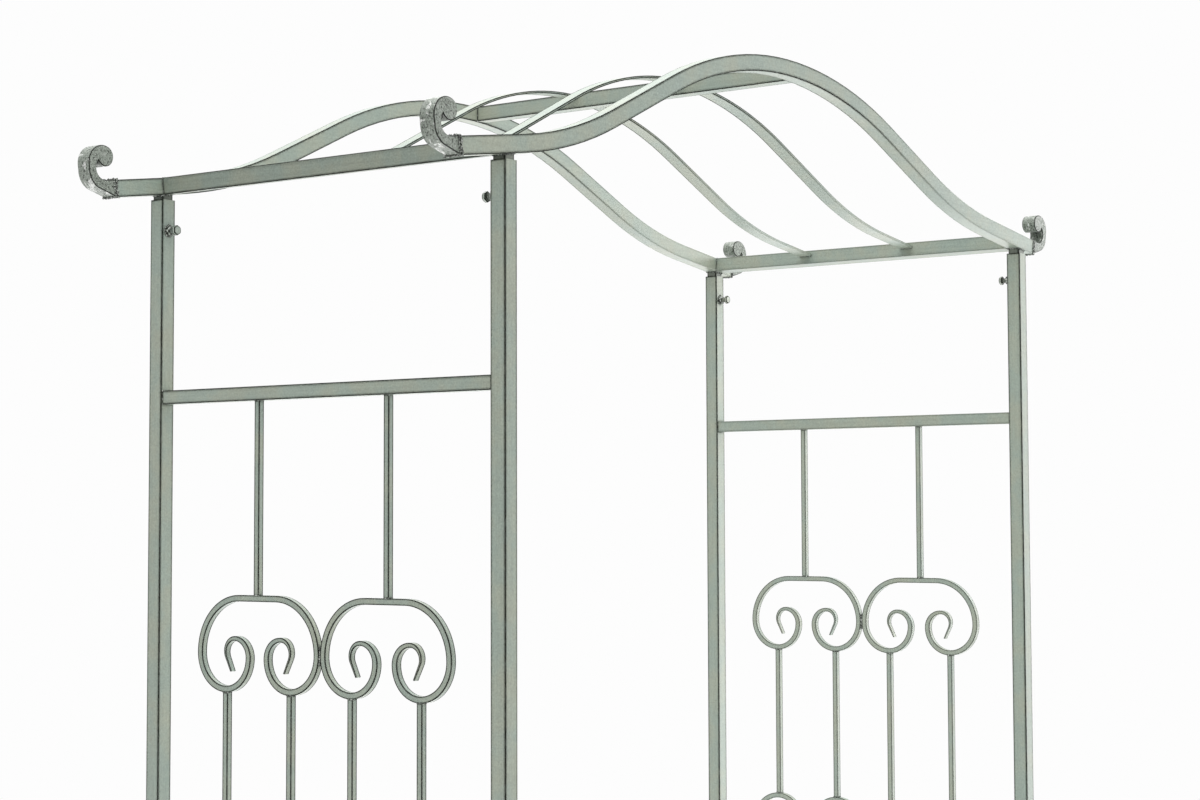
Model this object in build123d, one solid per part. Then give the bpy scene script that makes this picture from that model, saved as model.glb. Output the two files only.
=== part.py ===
from build123d import *
import math
import os

# A free-standing metal garden arch: two ornamental side panels carry a pagoda roof frame.
# X runs across the walk-through, Y along it, Z up, with the ground at Z = 0. Sizes in mm.

# Overall layout, between post centres
span = 1440.0
depth = 642.0

# Posts
post_size = 25.0
post_wall = 1.5
post_length = 1975.0
tube_corner = 1.2

# Foot caps, pressed into the open lower ends of the posts
cap_flange = 3.0
cap_plug_length = 18.0
cap_plug_clearance = 0.2
cap_plug_wall = 2.0

# Side panel: rails, pickets and scrolls between two posts
rail_size = 20.0
rail_wall = 1.5
rail_drop = 280.0
picket_size = 9.0
upper_picket_length = 273.0
middle_picket_length = 266.0
scroll_pitch = 238.0
upper_picket_pitch = 243.0

# C-scroll: a flat top, a wide shoulder each side, then a loop and an inward curl, whose bar
# is drawn out thinner towards a straight tail
scroll_bar = 9.0
scroll_flat = 72.0
shoulder_radius = 77.0
loop_radius = 51.0
inner_loop_radius = 44.5
curl_radius = 27.0
curl_end_radius = 18.5
tail_lean = 26.0
tail_length = 22.0
curl_top_thickness = 6.5
tail_start_thickness = 3.0
tail_tip_thickness = 2.0

# Roof frame: ogee beams of square tube, joined by three ties. The beams are not symmetric:
# their crown lies left of the middle, and the left eaves reach further out.
roof_tube = 25.0
roof_wall = 1.5
roof_gap = 6.0
roof_rise = 199.0
eave_slope = 8.0
left_overhang = 102.0
right_overhang = 42.0
crown_shift = 48.0
left_eave_straight = 33.0
right_eave_straight = 115.0
steepest_share = 1.55

# Flat slats between the ties, bent in a shape of their own and set a little lower
slat_width = 25.0
slat_thickness = 4.0
slat_pitch = 214.0
slat_drop = 7.0
slat_rise = 202.0
slat_crown_shift = 28.0
slat_eave_straight = 110.0

# Cast snub end on each beam end: a rim that curls over into a round bulb
snub_reach = 47.0
snub_rim = 13.4
snub_mouth_radius = 16.8
snub_heel_radius = 28.0
snub_heel_drop = 2.8
snub_crown_radius = 26.5
snub_crown_lift = 7.0
snub_bulb_radius = 14.6
snub_bulb_turn = 121.0
snub_edge = 1.0

# Spigots under the roof corners, plugged into the posts
spigot_size = 20.0
spigot_wall = 1.5
spigot_insert = 80.0

# Clamp screws: a hex bolt in a nut welded to the post presses on the spigot
clamp_drop = 46.0
bolt_diameter = 8.0
bolt_length = 16.0
bolt_tip_gap = 0.3
bolt_chamfer = 1.0
hex_across_flats = 13.0
bolt_head_height = 5.3
nut_height = 6.5
nut_radial_clearance = 0.05
post_hole_clearance = 0.5

# Places worked out from the sizes above
half_span = span / 2
half_depth = depth / 2
post_bottom = cap_flange
post_top = post_bottom + post_length
post_bore = post_size - 2 * post_wall
roof_bore = roof_tube - 2 * roof_wall
rail_top = post_top - rail_drop
upper_picket_foot = rail_top - rail_size - upper_picket_length
scroll_height = shoulder_radius + loop_radius + scroll_bar
scroll_foot = upper_picket_foot - scroll_height
ornament_middle = scroll_foot - middle_picket_length / 2
loop_offset = scroll_flat / 2 + shoulder_radius - loop_radius
picket_run = depth - post_size
clamp_level = post_top - clamp_drop

roof_middle = (left_overhang - right_overhang) / 2
left_posts = roof_middle - half_span
right_posts = roof_middle + half_span

slope = math.radians(eave_slope)
eave_level = (
    post_top + roof_gap
    + roof_tube / 2 / math.cos(slope)
    + post_size / 2 * math.tan(slope)
)
ridge_level = eave_level + roof_rise
bolt_axis_reach = spigot_size / 2 + bolt_tip_gap


def at(x, y, z):
    """A location at a point, with no rotation."""
    return Location((x, y, z))


def half_ogee(post_to_crown, crown_rise, eave_straight, eave_length, lift):
    """Steps of one half of a bent roof member, from its eave end up to the crown.

    The bends into and out of the straight flank share one radius, so that the run and the
    rise fix both. The lift raises the line square to itself, off the beam's own centre line.
    """
    run = post_to_crown - eave_straight
    rise = crown_rise - eave_straight * math.tan(slope)
    steepest = math.atan(steepest_share * rise / run)
    across = 2 * math.sin(steepest) - math.sin(slope)
    up = 1 + math.cos(slope) - 2 * math.cos(steepest)
    mix = across * math.sin(steepest) - up * math.cos(steepest)
    radius = (run * math.sin(steepest) - rise * math.cos(steepest)) / mix
    flank = (rise * across - run * up) / mix
    steepest_slope = math.degrees(steepest)
    return [
        (eave_length, 0, 0),
        (radius - lift, steepest_slope - eave_slope, 0),
        (flank, 0, 0),
        (radius + lift, -steepest_slope, 0),
    ]


def walk(start, heading, steps, thickness, side):
    """Edges along one side of a bar that follows straights and arcs.

    Each step is (size, turn, thickness at its end). A turn of zero makes a straight of that
    size; any other turn, in degrees and positive to the left, makes an arc of that radius.
    """
    edges = []
    centre = Vector(*start)
    for size, turn, end_thickness in steps:
        angle = math.radians(heading)
        left = Vector(-math.sin(angle), math.cos(angle))
        first = centre + left * (side * thickness / 2)
        if turn == 0:
            centre = centre + Vector(math.cos(angle), math.sin(angle)) * size
            edges.append(Line(first, centre + left * (side * end_thickness / 2)))
        else:
            pivot = centre + left * math.copysign(size, turn)
            arm = centre - pivot
            half_arm = arm.rotate(Axis.Z, turn / 2)
            end_arm = arm.rotate(Axis.Z, turn)
            half_left = left.rotate(Axis.Z, turn / 2)
            end_left = left.rotate(Axis.Z, turn)
            middle = pivot + half_arm + half_left * (side * (thickness + end_thickness) / 4)
            centre = pivot + end_arm
            last = centre + end_left * (side * end_thickness / 2)
            edges.append(ThreePointArc(first, middle, last))
            heading += turn
        thickness = end_thickness
    return edges


def bar_face(start, heading, steps, thickness):
    """Side view of a bent bar, as a closed face."""
    left = walk(start, heading, steps, thickness, 1)
    right = walk(start, heading, steps, thickness, -1)
    head = Line(left[0] @ 0, right[0] @ 0)
    tail = Line(left[-1] @ 1, right[-1] @ 1)
    return make_face([*left, *right, head, tail])


def square_tube(size, wall, length, corner):
    """An upright square tube with rounded corners, centred on the origin."""
    outside = extrude(RectangleRounded(size, size, corner), length / 2, both=True)
    return outside - Box(size - 2 * wall, size - 2 * wall, length)


def square_bar(size, low, high):
    """An upright square bar between two levels, on the Z axis."""
    return at(0, 0, (low + high) / 2) * Box(size, size, high - low)


def hexagon_prism(height):
    """A hexagon with a corner up, standing on the XY plane."""
    return extrude(RegularPolygon(hex_across_flats / 2, 6, major_radius=False), height)


def post(side_y):
    """A post tube, with the clamp screw's hole in the wall that faces the panel."""
    tube = at(0, 0, post_bottom + post_length / 2) * square_tube(
        post_size, post_wall, post_length, tube_corner)
    hole = Cylinder(bolt_diameter / 2 + post_hole_clearance, post_wall * 2)
    wall_middle = (post_size - post_wall) / 2
    place = Location((0, -side_y * wall_middle, clamp_level), (90, 0, 0))
    return tube - place * hole


def foot_cap():
    """A plastic cap: a flange under the tube and a hollow plug in its bore."""
    flange = extrude(RectangleRounded(post_size, post_size, tube_corner), cap_flange)
    plug_size = post_bore - 2 * cap_plug_clearance
    plug_middle = cap_flange + cap_plug_length / 2
    plug = at(0, 0, plug_middle) * Box(plug_size, plug_size, cap_plug_length)
    hollow_size = plug_size - 2 * cap_plug_wall
    hollow = at(0, 0, plug_middle) * Box(hollow_size, hollow_size, cap_plug_length)
    return flange + (plug - hollow)


def rail(top):
    """A level rail tube between the two posts, seen from its top level."""
    tube = square_tube(rail_size, rail_wall, picket_run, tube_corner)
    return Location((0, 0, top - rail_size / 2), (90, 0, 0)) * tube


def omega_scroll():
    """A C-scroll bent from square bar, its flat top centred at the origin, curls below."""
    steps = [
        (scroll_flat / 2, 0, scroll_bar),
        (shoulder_radius, -90, scroll_bar),
        (loop_radius, -90, scroll_bar),
        (inner_loop_radius, -90, scroll_bar),
        (curl_radius, -90, curl_top_thickness),
        (curl_end_radius, -90 - tail_lean, tail_start_thickness),
        (tail_length, 0, tail_tip_thickness),
    ]
    half_view = bar_face((0, -scroll_bar / 2), 0, steps, scroll_bar)
    half = extrude(Plane.YZ * half_view, scroll_bar / 2, both=True)
    return half + mirror(half, about=Plane.XZ)


def weld_nut():
    """A hex nut standing on the XY plane, its bore clear of the bolt."""
    bore = Cylinder(bolt_diameter / 2 + nut_radial_clearance, nut_height * 3)
    return hexagon_prism(nut_height) - bore


def clamp_bolt():
    """A hex bolt along +Z, its chamfered tip at the origin and its head at the far end."""
    shank = at(0, 0, bolt_length / 2) * Cylinder(bolt_diameter / 2, bolt_length)
    shank = chamfer(shank.edges().sort_by(Axis.Z)[0], bolt_chamfer)
    head = at(0, 0, bolt_length) * hexagon_prism(bolt_head_height)
    dome_radius = hex_across_flats / 2 + bolt_chamfer
    dome = at(0, 0, bolt_length + bolt_head_height / 2) * Cylinder(dome_radius, bolt_head_height)
    dome = chamfer(dome.edges().sort_by(Axis.Z)[-1], bolt_chamfer)
    return shank + (head & dome)


def facing_panel(side_y, reach, piece):
    """Stand a Z-built clamp part on the post's inner side, its base that far off centre."""
    turn = 90 * side_y
    return Location((0, -side_y * reach, clamp_level), (turn, 0, 0)) * piece


def along_ogee(section, crown, crown_rise, eave_straights, reaches, lift):
    """Sweep a section along an ogee from the left eave to the right one.

    The crown is how far the top lies left of the posts' middle, the reaches are how far the
    member's ends lie outside the posts along the slope, and the lift is square to the path.
    The section's X lies across the member and its Y square to the path.
    """
    left_straight, right_straight = eave_straights
    left_reach, right_reach = reaches
    left_length = left_straight / math.cos(slope) + left_reach
    right_length = right_straight / math.cos(slope) + right_reach
    rising = half_ogee(half_span - crown, crown_rise, left_straight, left_length, lift)
    falling = half_ogee(half_span + crown, crown_rise, right_straight, right_length, lift)
    x = left_posts - left_reach * math.cos(slope) - lift * math.sin(slope)
    z = eave_level - left_reach * math.sin(slope) + lift * math.cos(slope)
    path = Plane.XZ * Curve(walk((x, z), eave_slope, rising + falling[::-1], 0, 1))
    first = path.edges()[0]
    return sweep(Plane(first @ 0, x_dir=(0, 1, 0), z_dir=first % 0) * section, path=path)


def roof_beam():
    """An ogee beam of square tube, centred on the XZ plane and open at its ends."""
    section = RectangleRounded(roof_tube, roof_tube, tube_corner)
    section -= Rectangle(roof_bore, roof_bore)
    straights = (left_eave_straight, right_eave_straight)
    reaches = (left_overhang / math.cos(slope), right_overhang / math.cos(slope))
    return along_ogee(section, crown_shift, roof_rise, straights, reaches, 0)


def slat_halves():
    """The left and right halves of a flat slat, cut to butt against the three ties."""
    section = Rectangle(slat_width, slat_thickness)
    straights = (slat_eave_straight, slat_eave_straight)
    reaches = (-roof_tube / 2, -roof_tube / 2)
    lift = (roof_tube - slat_thickness) / 2 - slat_drop
    slat = along_ogee(section, slat_crown_shift, slat_rise, straights, reaches, lift)
    ridge_gap = at(roof_middle, 0, ridge_level) * Box(
        roof_tube, roof_tube + slat_width, roof_tube * 2)
    return (slat - ridge_gap).solids().sort_by(Axis.X)


def roof_tie():
    """A straight tie tube along Y that fits between the two beams."""
    tube = square_tube(roof_tube, roof_wall, depth - roof_tube, tube_corner)
    return Rot(90, 0, 0) * tube


def snub_end():
    """The cast end of a right-hand beam, in the XZ plane, with its weld face at X = 0."""
    half_tube = roof_tube / 2
    mouth = Vector(snub_reach - snub_rim - snub_mouth_radius, half_tube + snub_mouth_radius)
    heel = Vector(snub_reach - snub_heel_radius, mouth.Y - snub_heel_drop)
    crown = Vector(snub_reach - snub_crown_radius, mouth.Y + snub_crown_lift)
    lean = math.radians(snub_bulb_turn)
    bulb = crown + Vector(math.cos(lean), math.sin(lean)) * (snub_crown_radius - snub_bulb_radius)

    foot = Vector(0, -half_tube)
    to_heel = heel - foot
    heel_angle = math.degrees(
        math.atan2(to_heel.Y, to_heel.X) - math.asin(snub_heel_radius / to_heel.length)) - 90
    to_mouth = mouth - bulb
    opening = (snub_bulb_radius**2 + to_mouth.length**2 - snub_mouth_radius**2) / (
        2 * snub_bulb_radius * to_mouth.length)
    notch_angle = math.degrees(math.atan2(to_mouth.Y, to_mouth.X) + math.acos(opening))

    heel_arc = CenterArc(heel, snub_heel_radius, heel_angle, -heel_angle)
    crown_arc = CenterArc(crown, snub_crown_radius, 0, snub_bulb_turn)
    bulb_turn = 360 + notch_angle - snub_bulb_turn
    bulb_arc = CenterArc(bulb, snub_bulb_radius, snub_bulb_turn, bulb_turn)
    notch = bulb_arc @ 1 - mouth
    mouth_angle = math.degrees(math.atan2(notch.Y, notch.X))
    mouth_arc = CenterArc(mouth, snub_mouth_radius, mouth_angle, -90 - mouth_angle)
    outline = [
        Line(foot, heel_arc @ 0),
        heel_arc,
        Line(heel_arc @ 1, crown_arc @ 0),
        crown_arc,
        bulb_arc,
        mouth_arc,
        Line(mouth_arc @ 1, (0, half_tube)),
        Line((0, half_tube), foot),
    ]
    casting = extrude(Plane.XZ * make_face(outline), half_tube, both=True)
    rims = ShapeList(
        edge
        for face in casting.faces().filter_by(Axis.Y)
        for edge in face.edges()
        if edge.center().X > snub_edge
    )
    return chamfer(rims, snub_edge)


def spigot():
    """A tube under a right-hand roof corner, its top cut to the slope of the beam."""
    top = post_top + roof_gap + roof_tube
    bottom = post_top - spigot_insert
    tube = at(0, 0, (top + bottom) / 2) * square_tube(
        spigot_size, spigot_wall, top - bottom, tube_corner)
    beam = Location((0, 0, eave_level), (0, eave_slope, 0)) * Box(
        roof_tube * 2, roof_tube, roof_tube)
    above = at(0, 0, eave_level + roof_tube) * Box(roof_tube * 2, roof_tube, roof_tube * 2)
    return (tube - beam - above).solids().sort_by(Axis.Z)[0]


def panel_nodes():
    """Pieces of one side panel on the YZ plane, by name without the side."""
    flip = Plane.XY.offset(ornament_middle)
    front, back = -half_depth, half_depth
    top_rail = rail(rail_top)
    picket = square_bar(picket_size, upper_picket_foot, rail_top - rail_size)
    middle_picket = square_bar(picket_size, scroll_foot - middle_picket_length, scroll_foot)
    scroll = at(0, 0, upper_picket_foot) * omega_scroll()
    nodes = {
        "top_rail": top_rail,
        "bottom_rail": mirror(top_rail, about=flip),
        "clamp_nuts": Compound(children=[
            at(0, y, 0) * facing_panel(math.copysign(1, y), post_size / 2, weld_nut())
            for y in (front, back)
        ]),
    }
    number = 1
    for name, y in (("front", front), ("back", back)):
        side = math.copysign(1, y)
        place = at(0, y, 0)
        nodes[f"{name}_post"] = place * post(side)
        nodes[f"{name}_foot_cap"] = place * foot_cap()
        upper_picket = at(0, side * upper_picket_pitch / 2, 0) * picket
        nodes[f"{name}_upper_picket"] = upper_picket
        nodes[f"{name}_bottom_picket"] = mirror(upper_picket, about=flip)
        shift = at(0, side * scroll_pitch / 2, 0)
        nodes[f"{name}_upper_scroll"] = shift * scroll
        nodes[f"{name}_lower_scroll"] = mirror(shift * scroll, about=flip)
        for reach in (-loop_offset, loop_offset):
            nodes[f"middle_picket_{number}"] = shift * at(0, reach, 0) * middle_picket
            number += 1
        nodes[f"{name}_clamp_bolt"] = place * facing_panel(side, bolt_axis_reach, clamp_bolt())
    return nodes


def roof_nodes():
    """Pieces of the roof frame, by name."""
    nodes = {"ridge_tie": at(roof_middle, 0, ridge_level) * roof_tie()}
    right_tie = Location((0, 0, eave_level), (0, eave_slope, 0)) * roof_tie()
    right_casting = snub_end()
    right_plug = spigot()
    corner_pieces = {
        "left": (left_posts, left_overhang, -1, *(
            mirror(piece, about=Plane.YZ) for piece in (right_tie, right_casting, right_plug))),
        "right": (right_posts, right_overhang, 1, right_tie, right_casting, right_plug),
    }
    beam = roof_beam()
    slats = dict(zip(("left", "right"), slat_halves()))
    ends = (("front", -half_depth), ("back", half_depth))
    for name, y in ends:
        nodes[f"{name}_roof_beam"] = at(0, y, 0) * beam
    for side, (x, overhang, outward, tie, casting, plug) in corner_pieces.items():
        nodes[f"{side}_eave_tie"] = at(x, 0, 0) * tie
        end_level = eave_level - overhang * math.tan(slope)
        for name, y in ends:
            end_place = Location(
                (x + outward * overhang, y, end_level), (0, outward * eave_slope, 0))
            nodes[f"{side}_{name}_beam_end"] = end_place * casting
            nodes[f"{side}_{name}_spigot"] = at(x, y, 0) * plug
            slat_place = at(0, math.copysign(slat_pitch / 2, y), 0)
            nodes[f"{side}_{name}_slat"] = slat_place * slats[side]
    return nodes


def main():
    """Build every node and write its STEP file."""
    os.makedirs("parts", exist_ok=True)
    nodes = roof_nodes()
    for side, x in (("left", left_posts), ("right", right_posts)):
        for name, piece in panel_nodes().items():
            nodes[f"{side}_{name}"] = at(x, 0, 0) * piece
    for name, piece in nodes.items():
        export_step(piece, f"parts/{name}.step")
    print(len(nodes), "nodes")


if __name__ == "__main__":
    main()
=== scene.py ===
"""Looks of a painted metal garden arch: finishes, weld beads, clamp screws and a studio."""

import logging
import math
from dataclasses import dataclass, field
from enum import Enum
from typing import Any, Iterable

import bmesh
import bpy
from mathutils import Matrix, Vector


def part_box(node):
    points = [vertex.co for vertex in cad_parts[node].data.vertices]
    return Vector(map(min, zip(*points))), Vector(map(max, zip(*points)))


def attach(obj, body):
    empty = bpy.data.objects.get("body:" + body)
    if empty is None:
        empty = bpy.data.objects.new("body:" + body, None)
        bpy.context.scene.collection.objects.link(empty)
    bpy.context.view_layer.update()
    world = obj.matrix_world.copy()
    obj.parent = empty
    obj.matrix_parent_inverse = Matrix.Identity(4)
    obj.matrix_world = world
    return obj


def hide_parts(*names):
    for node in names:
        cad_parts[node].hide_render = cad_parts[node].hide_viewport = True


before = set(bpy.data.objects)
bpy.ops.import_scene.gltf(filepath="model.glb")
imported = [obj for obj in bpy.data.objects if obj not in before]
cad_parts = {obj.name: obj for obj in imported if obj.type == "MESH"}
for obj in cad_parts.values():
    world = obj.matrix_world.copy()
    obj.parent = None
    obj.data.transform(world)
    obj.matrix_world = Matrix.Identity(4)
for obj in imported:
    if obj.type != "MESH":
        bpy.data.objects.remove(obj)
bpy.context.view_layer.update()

LOG = logging.getLogger("garden_arch")
MM = 0.001
CORNER_SAMPLES = 12
CREVICE_SAMPLES = 6
# Specular level of a film of paint, Blender's usual one for an IOR of 1.5.
PAINT_SHINE = 0.5


def linear(code: str) -> tuple[float, float, float, float]:
    """Turn an sRGB hex colour into linear values for a socket.

    Args:
        code: Six hex digits with a leading hash sign.

    Returns:
        Linear red, green, blue and an alpha of one.
    """
    channels = (int(code[i:i + 2], 16) / 255 for i in (1, 3, 5))
    red, green, blue = (
        c / 12.92 if c <= 0.04045 else ((c + 0.055) / 1.055) ** 2.4 for c in channels)
    return red, green, blue, 1.0


def per_mm(size: float) -> float:
    """Noise scale on Object coordinates for a pattern of that size in millimetres."""
    return 1 / (size * MM)


def add_node(tree: bpy.types.NodeTree, kind: str, inputs: dict[Any, Any] | None = None,
             **settings: Any) -> bpy.types.Node:
    """Add one node with its settings, values and links.

    Args:
        tree: The node tree that gets the node.
        kind: Blender's name for the kind of node.
        inputs: Input name or number to a value, or to an output socket to link.
        **settings: Properties of the node itself.

    Returns:
        The new node.
    """
    node = tree.nodes.new(kind)
    for name, value in settings.items():
        setattr(node, name, value)
    for key, value in (inputs or {}).items():
        if isinstance(value, bpy.types.NodeSocket):
            tree.links.new(value, node.inputs[key])
        else:
            node.inputs[key].default_value = value
    return node


class Lie(Enum):
    """How a piece lies: the axis its flat sides face, and the axis it was brushed along."""

    UPRIGHT = (0, 2)
    LENGTHWISE = (0, 1)
    OVERHEAD = (1, 0)
    CROSSWISE = (1, 2)

    @property
    def side_axis(self) -> int:
        """Number of the axis that the flat sides face."""
        return self.value[0]

    @property
    def brush_axis(self) -> int:
        """Number of the axis along which the streaks run."""
        return self.value[1]


@dataclass(frozen=True)
class Ramp:
    """How one value follows another: low at start, high at full, and steady beyond them."""

    start: float
    full: float
    low: float = 0.0
    high: float = 1.0

    def of(self, source: bpy.types.NodeSocket) -> dict[int, Any]:
        """Inputs of a Map Range node that applies this ramp to the source."""
        return {0: source, 1: self.start, 2: self.full, 3: self.low, 4: self.high}


def new_material(name: str) -> tuple[bpy.types.Material, bpy.types.NodeTree]:
    """Make a material whose node tree is still empty.

    Args:
        name: The material's name.

    Returns:
        The material and its node tree.
    """
    material = bpy.data.materials.new(name)
    material.use_nodes = True
    material.node_tree.nodes.clear()
    return material, material.node_tree


def corner_mask(tree: bpy.types.NodeTree, side_axis: int, reach_mm: float,
                where: Ramp) -> bpy.types.NodeSocket:
    """Mask of the corners between a piece's flat sides and its rims.

    The surface normal is averaged over a small reach. Well inside a side or a rim its part
    along the side axis is one or zero, and near a corner it lies between.

    Args:
        tree: The material's node tree.
        side_axis: Number of the axis that the flat sides face.
        reach_mm: How far the averaging looks.
        where: Size of the mixed part, half at most, to the mask.

    Returns:
        The mask's output socket.
    """
    averaged = add_node(tree, "ShaderNodeBevel", {"Radius": reach_mm * MM},
                        samples=CORNER_SAMPLES)
    parts = add_node(tree, "ShaderNodeSeparateXYZ", {0: averaged.outputs[0]})
    side = parts.outputs[side_axis]
    squared = add_node(tree, "ShaderNodeMath", {0: side, 1: side}, operation="MULTIPLY")
    rest = add_node(tree, "ShaderNodeMath", {0: 1.0, 1: squared.outputs[0]},
                    operation="SUBTRACT", use_clamp=True)
    product = add_node(tree, "ShaderNodeMath", {0: squared.outputs[0], 1: rest.outputs[0]},
                       operation="MULTIPLY")
    mixed = add_node(tree, "ShaderNodeMath", {0: product.outputs[0], 1: 0.5}, operation="POWER")
    mask = add_node(tree, "ShaderNodeMapRange", where.of(mixed.outputs[0]))
    return mask.outputs[0]


def crevice_shade_mask(tree: bpy.types.NodeTree, reach_mm: float,
                 where: Ramp) -> bpy.types.NodeSocket:
    """Mask of painted shade, in the places where a near surface shades by ambient occlusion.

    Args:
        tree: The material's node tree.
        reach_mm: How near a neighbouring surface counts.
        where: Openness of the place, one in the open, to the mask.

    Returns:
        The mask's output socket.
    """
    openness = add_node(tree, "ShaderNodeAmbientOcclusion", {"Distance": reach_mm * MM},
                        samples=CREVICE_SAMPLES)
    mask = add_node(tree, "ShaderNodeMapRange", where.of(openness.outputs["AO"]))
    return mask.outputs[0]


@dataclass(frozen=True)
class AntiquedPaint:
    """Grey-green enamel brushed over a near-black undercoat on mild steel.

    To the eye it is satin, a little streaky along the bar and browner in patches. It was
    rubbed back on the corners, so a thin near-black line follows each one. In crevices and at the
    welds the colour darkens to the undercoat's, which is painted shade. Towards the right side of
    the arch the line fades on bars, rails and beams, painted light for the brighter light there.

    Brush marks and orange peel are about 1 mm across, too fine to show from where the camera
    stands. They are drawn two to three times as coarse, and the rubbed line as wide as it
    needs to show.
    """

    name: str = "antiqued_enamel"
    enamel: str = "#98A396"
    cool_patch: str = "#919F95"
    warm_patch: str = "#9DA393"
    patch_mm: float = 70.0
    cool_where: Ramp = Ramp(0.46, 0.68)
    warm_where: Ramp = Ramp(0.54, 0.34)
    undercoat: str = "#12140F"
    undercoat_roughness: float = 0.8
    undercoat_shine: float = 0.08
    roughness: float = 0.37
    roughness_play: float = 0.03
    streak_mm: float = 2.6
    streak_length_mm: float = 90.0
    streak_share: float = 0.3
    grain_mm: float = 2.2
    grain_low: float = 0.3
    grain_high: float = 0.7
    brightness: Ramp = Ramp(0.45, 0.85, 0.76, 1.22)
    peel_mm: float = 2.4
    peel_depth_mm: float = 0.25
    peel_strength: float = 0.12
    corner_reach_mm: float = 4.4
    corner_where: Ramp = Ramp(0.11, 0.24)
    wear_mm: float = 14.0
    wear: Ramp = Ramp(0.3, 0.5, 0.85, 1.0)
    painted_light_from_m: float = 0.15
    painted_light_to_m: float = 0.5
    line_left_in_painted_light: float = 1.0
    painted_shade_reach_mm: float = 7.0
    painted_shade_where: Ramp = Ramp(0.72, 0.42, 0.0, 0.75)

    def tint(self, tree: bpy.types.NodeTree,
             coords: bpy.types.NodeSocket) -> bpy.types.NodeSocket:
        """Mix the enamel with its cooler and its warmer patches.

        Args:
            tree: The material's node tree.
            coords: Object coordinates.

        Returns:
            The colour's output socket.
        """
        patches = add_node(tree, "ShaderNodeTexNoise",
                           {"Vector": coords, "Scale": per_mm(self.patch_mm), "Detail": 5.0,
                            "Roughness": 0.62})
        cool = add_node(tree, "ShaderNodeMapRange", self.cool_where.of(patches.outputs[0]))
        warm = add_node(tree, "ShaderNodeMapRange", self.warm_where.of(patches.outputs[0]))
        cooled = add_node(tree, "ShaderNodeMix",
                          {0: cool.outputs[0], 6: linear(self.enamel),
                           7: linear(self.cool_patch)}, data_type="RGBA")
        warmed = add_node(tree, "ShaderNodeMix",
                          {0: warm.outputs[0], 6: cooled.outputs[2],
                           7: linear(self.warm_patch)}, data_type="RGBA")
        return warmed.outputs[2]

    def shade(self, tree: bpy.types.NodeTree, coords: bpy.types.NodeSocket, lie: Lie,
              grain: bpy.types.NodeSocket) -> bpy.types.NodeSocket:
        """Work out how light the enamel is along its brush marks and grain.

        Args:
            tree: The material's node tree.
            coords: Object coordinates.
            lie: How the piece lies.
            grain: The fine grain.

        Returns:
            The output socket of a factor on the colour.
        """
        stretch = [per_mm(self.streak_mm)] * 3
        stretch[lie.brush_axis] = per_mm(self.streak_length_mm)
        brushed = add_node(tree, "ShaderNodeMapping", {"Vector": coords, "Scale": stretch})
        streaks = add_node(tree, "ShaderNodeTexNoise",
                           {"Vector": brushed.outputs[0], "Scale": 1.0, "Detail": 3.0})
        marks = add_node(tree, "ShaderNodeMath",
                         {0: streaks.outputs[0], 1: self.streak_share, 2: grain},
                         operation="MULTIPLY_ADD")
        factor = add_node(tree, "ShaderNodeMapRange", self.brightness.of(marks.outputs[0]))
        return factor.outputs[0]

    def bared_and_shaded(self, tree: bpy.types.NodeTree, coords: bpy.types.NodeSocket,
              lie: Lie) -> bpy.types.NodeSocket:
        """Mask of the undercoat on the rubbed corners, faded by painted light towards the right,
        and of painted shade in the crevices.

        Args:
            tree: The material's node tree.
            coords: Object coordinates.
            lie: How the piece lies.

        Returns:
            The mask's output socket.
        """
        patches = add_node(tree, "ShaderNodeTexNoise",
                           {"Vector": coords, "Scale": per_mm(self.wear_mm), "Detail": 4.0})
        worn = add_node(tree, "ShaderNodeMapRange", self.wear.of(patches.outputs[0]))
        # Painted light: towards +x, the right side of the arch, the rubbed line fades to a share
        # of itself, standing for the brighter light falling there.
        across = add_node(tree, "ShaderNodeSeparateXYZ", {0: coords})
        painted_light_ramp = Ramp(self.painted_light_from_m, self.painted_light_to_m, 1.0, self.line_left_in_painted_light)
        thin = add_node(tree, "ShaderNodeMapRange", painted_light_ramp.of(across.outputs[0]))
        shown = add_node(tree, "ShaderNodeMath",
                         {0: worn.outputs[0], 1: thin.outputs[0]}, operation="MULTIPLY")
        edge = corner_mask(tree, lie.side_axis, self.corner_reach_mm, self.corner_where)
        corner = add_node(tree, "ShaderNodeMath", {0: edge, 1: shown.outputs[0]},
                          operation="MULTIPLY")
        # Painted shade: ambient occlusion darkens crevices and the places at the welds to the
        # undercoat's colour.
        painted_shade = crevice_shade_mask(tree, self.painted_shade_reach_mm, self.painted_shade_where)
        dark = add_node(tree, "ShaderNodeMath", {0: corner.outputs[0], 1: painted_shade},
                        operation="MAXIMUM")
        return dark.outputs[0]

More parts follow.
